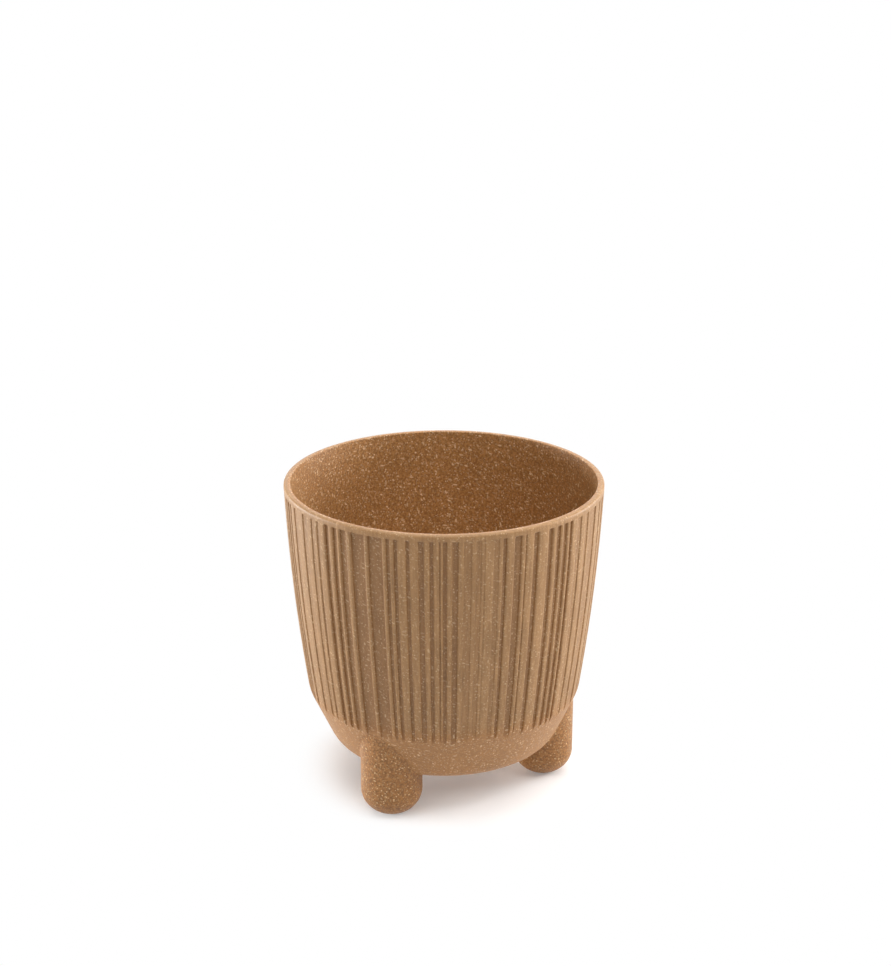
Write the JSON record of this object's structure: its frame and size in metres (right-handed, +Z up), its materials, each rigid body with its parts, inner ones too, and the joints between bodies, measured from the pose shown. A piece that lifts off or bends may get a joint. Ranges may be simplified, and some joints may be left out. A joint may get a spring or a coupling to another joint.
{
  "type": "plastic flowerpot",
  "caption": "Round tapered flowerpot with an unevenly ribbed wall, a plain collar and a bowl-shaped bottom, standing on short round feet.",
  "frame": {"origin": "on the floor, on the pot's vertical axis, at the centre of the circle that the feet stand on", "axes": "+Z up along the pot's axis, +X from the axis over the foot called foot_right; the picture looks along +Y, so -Y is the front"},
  "size_m": [0.1498, 0.1498, 0.151],
  "materials": {
    "shell_plastic": "matt tan plastic filled with short pale wood fibres",
    "foot_plastic": "matt tan plastic filled with short pale wood fibres"
  },
  "bodies": {
    "root": {"pot_shell": "shell_plastic", "foot_right": "foot_plastic", "foot_back_left": "foot_plastic", "foot_front_left": "foot_plastic"}
  },
  "joints": []
}
